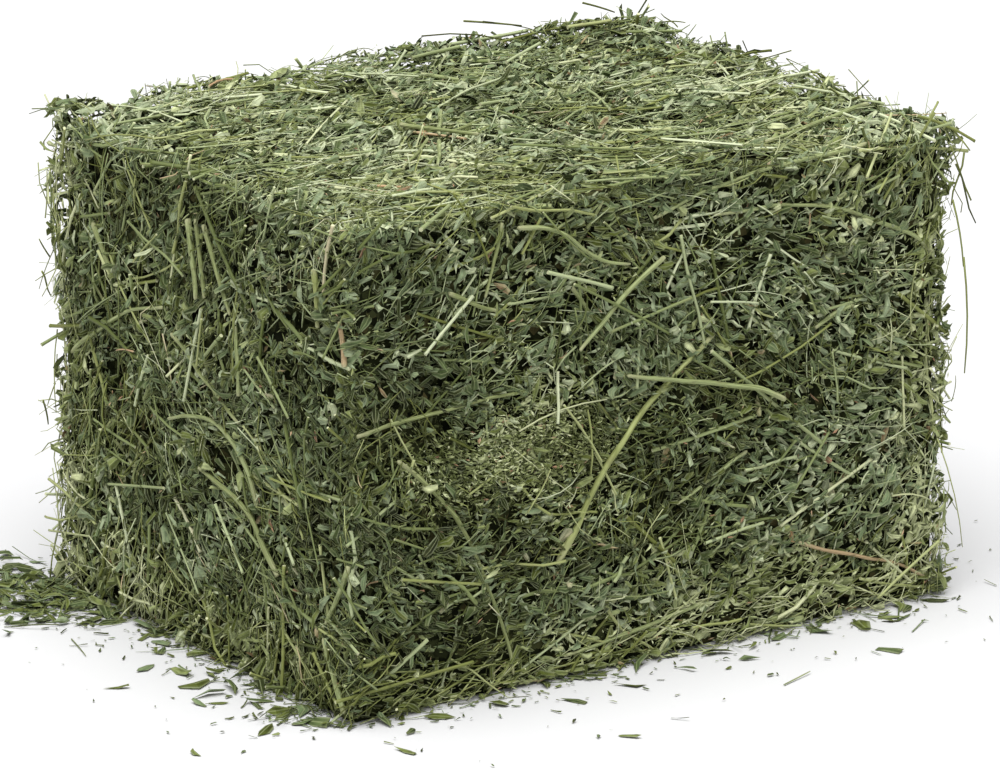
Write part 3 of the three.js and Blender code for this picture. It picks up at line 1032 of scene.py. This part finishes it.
def crushed_lay(rng):
    """The fine bits in the crushed patch."""
    count = bpy.context.scene.hay.crushed
    length = rng.uniform(2.5, 6.5, count) * MM
    width = length * rng.uniform(0.25, 0.5, count)
    tones = {"middle": 0.46, "spread": 0.27, "reddened": 0.015}
    return lay_pieces(
        rng, "crushed", CHAFF_SHAPES, length, width, 32 * DEGREE, thickness=(0.3, 0.8),
        height=(-0.8, 1.6, -5, 2), tones=tones, fluffy=0.4,
    )


def stalk_lay(rng):
    """Thin stalks and tendrils."""
    hay = bpy.context.scene.hay
    length = lognormal(rng, hay.stalk_length, 0.5, 9 * MM, 100 * MM, hay.stalks)
    width = lognormal(rng, 1.05 * MM, 0.3, 0.6 * MM, 2.0 * MM, hay.stalks)
    tilt = np.clip(2.4 * MM / length, 0.03, 0.3)
    tones = {"middle": 0.5, "spread": 0.22, "reddened": 0.012}
    lay = lay_pieces(
        rng, "stalk", STALK_SHAPES, length, width, tilt, thickness=(0.5, 1),
        height=(0.5, 1.7, -4, 3.5), tones=tones, fluffy=1.0, bend=0.24,
    )
    return slid_inward(lay, STALK_REACH)


def stem_lay(rng):
    """Chopped stems of full thickness."""
    hay = bpy.context.scene.hay
    length = lognormal(rng, hay.stem_length, 0.42, 20 * MM, 130 * MM, hay.stems)
    width = lognormal(rng, 2.3 * MM, 0.2, 1.6 * MM, 3.5 * MM, hay.stems)
    tilt = np.clip(1.8 * MM / length, 0.015, 0.12)
    tones = {"middle": 0.52, "spread": 0.17, "reddened": 0.015}
    lay = lay_pieces(
        rng, "stalk", STEM_SHAPES, length, width, tilt, thickness=(0.7, 1),
        height=(0.7, 1.5, -3, 3), tones=tones, fluffy=0.12, bend=0.1,
    )
    return slid_inward(lay, STALK_REACH)


# --- Operators -----------------------------------------------------------------------------


def finish_piece(piece, material, slot, *replaced):
    """Gives a piece its material, hangs it on the root body and hides the CAD nodes that it replaces."""
    piece.data.materials.append(material)
    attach(piece, "root")
    if replaced:
        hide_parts(*replaced)


def cover_flakes(ending, lays, material, slot, smooth_sides):
    """Makes one mesh of small pieces for each flake."""
    for number, name in enumerate(FLAKES):
        own = [
            (only(lay, np.searchsorted(SEAMS, lay.point[:, 1]) == number), shapes)
            for lay, shapes in lays
        ]
        finish_piece(joined(f"{name}_{ending}", own, smooth_sides), material, slot)


def join_pairs(bm):
    """Joins pairs of triangles into four-sided faces."""
    bmesh.ops.join_triangles(
        bm, faces=bm.faces, angle_face_threshold=math.pi, angle_shape_threshold=math.pi
    )


# The matted mass lies this deep under the flakes' faces, where it was this near to them.
MASS_DEPTH = 4.5 * MM
OUTER_LAYER = 6 * MM


class HAY_OT_press_flakes(bpy.types.Operator):
    """Makes the matted inside of each flake, coloured near black as painted shade where it shows between
    the pieces on its faces
    """

    bl_idname = "hay.press_flakes"
    bl_label = "Press flakes"

    def execute(self, context):
        hay = material_named("pressed hay", pressed_hay_painted_shade)
        for name in FLAKES:
            bm = merged_copy(name)
            join_pairs(bm)
            bmesh.ops.subdivide_edges(bm, edges=bm.edges, cuts=4, use_grid_fill=True)
            bmesh.ops.triangulate(bm, faces=bm.faces)
            bmesh.ops.recalc_face_normals(bm, faces=bm.faces)
            self.sink(bm, np.array([v.co for v in bm.verts]))
            finish_piece(shown(f"{name}_mass", bm), hay, "hay", name)
        return {"FINISHED"}

    def sink(self, bm, places):
        """Moves the outside in under the pieces that cover it, leaving the seams where they are."""
        gaps = np.stack([places - SOLID_LOW, SOLID_HIGH - places], 2)
        axis_gap = gaps.min(2)
        axis = axis_gap.argmin(1)
        low_gap, high_gap = gaps[np.arange(len(places)), axis].T
        sign = np.where(high_gap < low_gap, 1, -1)
        outer = axis_gap.min(1) < OUTER_LAYER
        side = np.zeros(len(places), int)
        across, up = np.zeros(len(places)), np.zeros(len(places))
        for index, s in enumerate(SIDES):
            own = (axis == s.axis) & (sign == s.sign)
            side[own] = index
            across[own] = places[own, s.across] - LOW[s.across]
            up[own] = places[own, s.up] - LOW[s.up]
        sunk = np.minimum(lumps(places), 0) - np.maximum(sink_in_hollows(side, across, up), 0)
        rough = 1.2 * MM * patches(places, 18 * MM, 31)
        margin = np.where(outer, MASS_DEPTH - sunk + rough, 0)[:, None]
        low = SOLID_LOW + margin * (1, 1, 0.1)
        high = SOLID_HIGH - margin
        for vert, place in zip(bm.verts, np.clip(places, low, high)):
            vert.co = Vector(place)


class HAY_OT_lay_leaves(bpy.types.Operator):
    """Lays torn leaves and whole leaflets over every flake"""

    bl_idname = "hay.lay_leaves"
    bl_label = "Lay leaves"

    def execute(self, context):
        rng = np.random.default_rng(context.scene.hay.seed)
        torn, whole = leaf_lays(rng)
        leaf = material_named("dried leaf", dried_leaf)
        cover_flakes("leaves", ((torn, LEAF_SHAPES), (whole, WHOLE_LEAF_SHAPES)), leaf, "hay", False)
        return {"FINISHED"}


class HAY_OT_lay_chaff(bpy.types.Operator):
    """Strews chaff over every flake and fine bits over the crushed patch"""

    bl_idname = "hay.lay_chaff"
    bl_label = "Lay chaff"

    def execute(self, context):
        rng = np.random.default_rng(context.scene.hay.seed + 2)
        lays = ((chaff_lay(rng), CHAFF_SHAPES), (crushed_lay(rng), CHAFF_SHAPES))
        cover_flakes("chaff", lays, material_named("chaff", chopped_bits), "hay", False)
        return {"FINISHED"}


class HAY_OT_lay_stalks(bpy.types.Operator):
    """Lays thin stalks and chopped stems over every flake"""

    bl_idname = "hay.lay_stalks"
    bl_label = "Lay stalks"

    def execute(self, context):
        rng = np.random.default_rng(context.scene.hay.seed + 1)
        lays = ((stalk_lay(rng), STALK_SHAPES), (stem_lay(rng), STEM_SHAPES))
        cover_flakes("stalks", lays, material_named("dried stalk", dried_stalk), "stem_green", True)
        return {"FINISHED"}


# The upright edges and their shares of the wisps: front left, front right, back left, back right.
EDGE_CORNERS = ((-1.0, -1.0), (1.0, -1.0), (-1.0, 1.0), (1.0, 1.0))
EDGE_SHARES = (0.1, 0.24, 0.38, 0.28)

# Long wisps that have sprung right out, from one end to the other in millimetres.
SPRUNG_WISPS = (
    (251, -198, 296, 258, -203, 247),
    (258, -203, 254, 260, -204, 168),
    (253, -198, 322, 266, -206, 278),
    (259, -200, 330, 250, -198, 292),
    (248, -190, 352, 262, -203, 331),
    (104, 200, 366, 152, 194, 357),
    (208, 196, 366, 232, 188, 357),
    (-267, 190, 140, -258, 198, 118),
    (-266, 190, 236, -256, 194, 214),
)
WISP_REACH = 13 * MM
WISP_AXIS_SHARES = (0.2, 0.2, 0.6)
SPRUNG_WAY = (0.8, -0.5, 0.3)
SPRUNG_WIDTH = 1.9 * MM
SPRUNG_SWAY = 0.05


class HAY_OT_pull_wisps(bpy.types.Operator):
    """Pulls long wisps out along the edges, where they have sprung loose"""

    bl_idname = "hay.pull_wisps"
    bl_label = "Pull wisps"

    def execute(self, context):
        rng = np.random.default_rng(context.scene.hay.seed + 3)
        lay = slid_inward(self.wisps(rng, context.scene.hay.wisps), WISP_REACH)
        piece = joined("wisps", [(lay, STALK_SHAPES)], smooth_sides=True)
        finish_piece(piece, material_named("dried stalk", dried_stalk), "stem_green")
        return {"FINISHED"}

    def wisps(self, rng, count):
        """Wisps that lie along the edges of the bale and bow outwards in their middle."""
        middle, half = (LOW + HIGH) / 2, SIZE / 2
        along_axis = rng.choice(3, count, p=WISP_AXIS_SHARES)
        corner = np.array(EDGE_CORNERS)[rng.choice(4, count, p=EDGE_SHARES)]
        corner = np.column_stack([corner, np.ones(count)])
        length = lognormal(rng, 38 * MM, 0.45, 16 * MM, 112 * MM, count)
        places = middle + corner * half
        rows = np.arange(count)
        room = half[along_axis] - length / 2
        places[rows, along_axis] = middle[along_axis] + rng.uniform(-1, 1, count) * room
        out = corner.copy()
        out[rows, along_axis] = 0
        out[:, 2] *= 0.5
        out /= np.linalg.norm(out, axis=1)[:, None]
        along = rng.normal(0, 0.27, (count, 3))
        along[rows, along_axis] = rng.choice((-1, 1), count)
        along /= np.linalg.norm(along, axis=1)[:, None]
        away = rng.uniform(-6, 2, count) * MM
        width = rng.uniform(0.8, 1.7, count) * MM
        sway = rng.uniform(-0.02, 0.16, count)
        sprung = np.array(SPRUNG_WISPS)
        start, end = sprung[:, :3] * MM, sprung[:, 3:] * MM
        span = end - start
        reach = np.linalg.norm(span, axis=1)
        places = np.concatenate([places + out * away[:, None], (start + end) / 2])
        along = np.concatenate([along, span / reach[:, None]])
        out = np.concatenate([out, np.tile(SPRUNG_WAY, (len(sprung), 1))])
        across = np.cross(along, out)
        across /= np.linalg.norm(across, axis=1)[:, None]
        width = np.concatenate([width, np.full(len(sprung), SPRUNG_WIDTH)])
        total = count + len(sprung)
        return Lay(
            places,
            np.stack([np.cross(across, along), along, across], 2),
            np.concatenate([length, reach]),
            width,
            width,
            np.concatenate([sway, np.full(len(sprung), SPRUNG_SWAY)]),
            card_columns(rng.normal(0.42, 0.14, total)),
            rng.integers(ROWS // 2, ROWS, total),
            rng.integers(0, 2, total),
        )


# A leafy sprig that has dropped beside the left face.
SPRIG = (-279 * MM, -147 * MM)

# Crumbs within this reach of the bale belong to it, and those further off to the stage.
CRUMB_REACH = 14 * MM

# The shares of the crumbs in front, at the left, behind and at the right, and of those that lie
# far off, in the drift and in the sprig.
FOOT_SHARES = (0.26, 0.4, 0.17, 0.17)
FAR_SHARE = 0.13
DRIFT_SHARE = 0.34
SPRIG_SHARE = 0.02


class HAY_OT_scatter_crumbs(bpy.types.Operator):
    """Scatters the crumbs that have dropped round the foot of the bale"""

    bl_idname = "hay.scatter_crumbs"
    bl_label = "Scatter crumbs"

    def execute(self, context):
        rng = np.random.default_rng(context.scene.hay.seed + 4)
        shapes = LEAF_SHAPES + CHAFF_SHAPES + STALK_SHAPES + STALK_SHAPES
        lay = self.crumbs(rng, context.scene.hay.crumbs, shapes)
        half = lay.length[:, None] / 2
        low, high = LOW[:2] - CRUMB_REACH, HIGH[:2] + CRUMB_REACH
        near = ((lay.point[:, :2] - half > low) & (lay.point[:, :2] + half < high)).all(1)
        leaf = material_named("dried leaf", dried_leaf)
        finish_piece(joined("crumbs", [(only(lay, near), shapes)], False), leaf, "hay")
        strewn = joined("strewn_crumbs", [(only(lay, ~near), shapes)], False)
        strewn.data.materials.append(leaf)
        return {"FINISHED"}

    def crumbs(self, rng, count, shapes):
        """Crumbs round the foot, thickest against it, with one drift at the left back corner."""
        edge = rng.random(count)
        apart = rng.exponential(15 * MM, count) - 3 * MM
        far = rng.random(count) < FAR_SHARE
        apart = np.where(far, rng.uniform(10, 120, count) * MM, apart)
        side = rng.choice(4, count, p=FOOT_SHARES)
        beside = (LOW + edge[:, None] * SIZE).T
        before, behind = (LOW - apart[:, None]).T, (HIGH + apart[:, None]).T
        x = np.choose(side, (beside[0], before[0], beside[0], behind[0]))
        y = np.choose(side, (before[1], beside[1], behind[1], beside[1]))
        drifted = rng.random(count) < DRIFT_SHARE
        x = np.where(drifted, LOW[0] - np.abs(rng.normal(0, 42 * MM, count)), x)
        y = np.where(drifted, HIGH[1] - 25 * MM + rng.normal(0, 38 * MM, count), y)
        sprig = rng.random(count) < SPRIG_SHARE
        x = np.where(sprig, SPRIG[0] + rng.normal(0, 9 * MM, count), x)
        y = np.where(sprig, SPRIG[1] + rng.normal(0, 6 * MM, count), y)
        large = rng.random(count) < np.where(drifted, 0.4, 0.18)
        length = np.where(large, rng.uniform(9, 26, count), rng.uniform(1.6, 7, count)) * MM
        shape = rng.integers(0, len(shapes), count)
        stalky = shape >= len(LEAF_SHAPES) + len(CHAFF_SHAPES)
        stalk_width = rng.uniform(1, 2.2, count) * MM
        width = np.where(stalky, stalk_width, length * rng.uniform(0.25, 0.55, count))
        depth = np.minimum(width * rng.uniform(0.3, 0.8, count), 2.4 * MM)
        turn = rng.uniform(-math.pi, math.pi, count)
        upward = np.tile((0, 0, 1.0), (count, 1))
        tangent = np.tile((1.0, 0, 0), (count, 1))
        heap = np.where(drifted, rng.uniform(0, 3.5, count), rng.uniform(0, 0.8, count)) * MM
        return Lay(
            np.stack([x, y, 0.8 * MM + heap], 1),
            frames_on(upward, tangent, turn, rng.normal(0, 0.12, count), rng.normal(0, 0.5, count)),
            np.where(stalky, np.minimum(length * 2.2, 40 * MM), length),
            width,
            depth,
            np.where(stalky, rng.uniform(-0.1, 0.1, count), rng.uniform(-0.5, 0.5, count)),
            card_columns(rng.normal(0.4, 0.14, count)),
            rng.integers(0, ROWS, count),
            shape,
        )


class HAY_OT_finish_loose_stems(bpy.types.Operator):
    """Makes the thick loose stems round, jointed, tapered and ribbed"""

    bl_idname = "hay.finish_loose_stems"
    bl_label = "Finish loose stems"

    def execute(self, context):
        slots = {row["node"]: row["material_slot"] for row in frame["record"]["subparts"]}
        for number, name in enumerate(LOOSE_STEMS):
            slot = slots[name]
            colour = f"loose {slot.replace('_', ' ')}"
            piece = self.round_off(name, number)
            finish_piece(piece, material_named(colour, loose_stem, *STEM_COLOURS[slot]), slot, name)
        return {"FINISHED"}

    def round_off(self, name, number):
        """The stem with finer bends, a taper, joints and its card."""
        bm = merged_copy(name)
        join_pairs(bm)
        bmesh.ops.subdivide_edges(bm, edges=bm.edges, cuts=1, use_grid_fill=True)
        along, middles = self.middle_line(bm)
        thickness = self.thickness(along, number)
        bend = 0.5 * MM * np.stack([patches(middles, 17 * MM, 60 + number + axis) for axis in range(3)], 1)
        for vert, middle, scale, shift in zip(bm.verts, middles, thickness, bend):
            out = vert.co - Vector(middle)
            vert.co = Vector(middle) + out * float(scale) + Vector(shift)
        self.lay_card(bm, along, middles)
        for face in bm.faces:
            face.smooth = True
        piece = shown(f"{name}_stalk", bm)
        rounding = piece.modifiers.new("rounding", "SUBSURF")
        rounding.levels = rounding.render_levels = 1
        return piece

    def middle_line(self, bm):
        """How far along the stem each vertex is, and the stem's middle there."""
        places = np.array([v.co for v in bm.verts])
        centre = places.mean(0)
        axes = np.linalg.svd(places - centre, full_matrices=False)[2]
        along = (places - centre) @ axes[0]
        reach = np.ptp(along)
        middles = np.outer(along, axes[0]) + centre
        for side in axes[1:]:
            curve = np.polynomial.Polynomial.fit(along, (places - centre) @ side, 5)
            middles += np.outer(curve(along), side)
        return (along - along.min()) / reach, middles

    def thickness(self, along, number):
        """Tapered to one end, swollen at the joints and a little uneven."""
        taper = 1.04 - 0.34 * (along if number % 2 else 1 - along)
        past_joint = (along * (1.6 + 0.3 * (number % 4)) + 0.2 * (number % 3)) % 1
        joints = np.exp(-(((past_joint - 0.5) / 0.05) ** 2))
        uneven = 0.07 * np.sin(23 * along + number) + 0.05 * np.sin(51 * along + 2 * number)
        return taper * (1 + 0.2 * joints + uneven)

    def lay_card(self, bm, along, middles):
        """Lays the stem's own card round it, from one side to the other and from end to end."""
        bm.verts.index_update()
        card = bm.loops.layers.uv.new(CARD)
        upward = Vector((0.35, -0.3, 0.88))
        for face in bm.faces:
            for loop in face.loops:
                out = loop.vert.co - Vector(middles[loop.vert.index])
                turn = out.angle(upward, 0) / math.pi
                loop[card].uv = (0.05 + 0.9 * turn, 0.02 + 0.96 * float(along[loop.vert.index]))


FLOOR_HALF_SIZE = 30
PANEL_LEAN = (18 * DEGREE, -3 * DEGREE)
CAMERA_AIM = Vector((-0.0055, -0.0075, 0.153))
SENSOR_WIDTH = 36


class HAY_OT_set_stage(bpy.types.Operator):
    """Sets the floor, the soft lights and the camera"""

    bl_idname = "hay.set_stage"
    bl_label = "Set stage"

    def execute(self, context):
        studio = context.scene.studio
        self.lay_floor(studio)
        self.hang_panel(studio)
        self.surround(studio)
        self.place_camera(studio)
        context.scene.view_settings.view_transform = "Standard"
        return {"FINISHED"}

    def lay_floor(self, studio):
        bm = bmesh.new()
        bmesh.ops.create_grid(bm, x_segments=1, y_segments=1, size=FLOOR_HALF_SIZE)
        floor = shown("floor", bm)
        tree = new_tree("studio floor")
        finish_paint(tree, (*studio.floor_colour, 1), 0.85, 0.1)
        floor.data.materials.append(bpy.data.materials["studio floor"])

    def hang_panel(self, studio):
        """Hangs a wide soft light high up, towards the camera's left."""
        light = bpy.data.lights.new("light panel", "SUN")
        light.energy = studio.panel
        light.angle = studio.panel_spread
        placed("light panel", light).rotation_euler = Euler((*PANEL_LEAN, studio.azimuth))

    def surround(self, studio):
        world = bpy.data.worlds.new("white studio")
        world.use_nodes = True
        background = world.node_tree.nodes["Background"]
        background.inputs["Color"].default_value = (1, 1, 1, 1)
        background.inputs["Strength"].default_value = studio.daylight
        bpy.context.scene.world = world

    def place_camera(self, studio):
        """Aims the camera a little below the middle of the bale."""
        turn = Euler((math.pi / 2 - studio.elevation, 0, studio.azimuth)).to_matrix()
        camera = placed("camera", bpy.data.cameras.new("camera"))
        camera.data.sensor_width = SENSOR_WIDTH
        camera.data.lens = studio.lens
        camera.location = CAMERA_AIM + turn @ Vector((0, 0, studio.distance))
        camera.rotation_euler = turn.to_euler()
        bpy.context.scene.camera = camera


class HAY_PT_bale(bpy.types.Panel):
    """Steps that build the bale"""

    bl_label = "Hay Bale"
    bl_space_type = "VIEW_3D"
    bl_region_type = "UI"
    bl_category = "Hay Bale"

    def draw(self, context):
        for step in STEPS:
            self.layout.operator(step.bl_idname)
        for settings in (context.scene.hay, context.scene.studio):
            for name in settings.bl_rna.properties.keys():
                if name not in ("rna_type", "name"):
                    self.layout.prop(settings, name)


STEPS = (
    HAY_OT_press_flakes,
    HAY_OT_lay_leaves,
    HAY_OT_lay_chaff,
    HAY_OT_lay_stalks,
    HAY_OT_pull_wisps,
    HAY_OT_scatter_crumbs,
    HAY_OT_finish_loose_stems,
    HAY_OT_set_stage,
)
CLASSES = (HaySettings, StudioSettings, *STEPS, HAY_PT_bale)


def register():
    for cls in CLASSES:
        bpy.utils.register_class(cls)
    bpy.types.Scene.hay = PointerProperty(type=HaySettings)
    bpy.types.Scene.studio = PointerProperty(type=StudioSettings)


def unregister():
    del bpy.types.Scene.studio
    del bpy.types.Scene.hay
    for cls in reversed(CLASSES):
        bpy.utils.unregister_class(cls)


def main():
    register()
    bpy.ops.hay.press_flakes()
    bpy.ops.hay.lay_leaves()
    bpy.ops.hay.lay_chaff()
    bpy.ops.hay.lay_stalks()
    bpy.ops.hay.pull_wisps()
    bpy.ops.hay.scatter_crumbs()
    bpy.ops.hay.finish_loose_stems()
    bpy.ops.hay.set_stage()


if __name__ == "__main__":
    main()
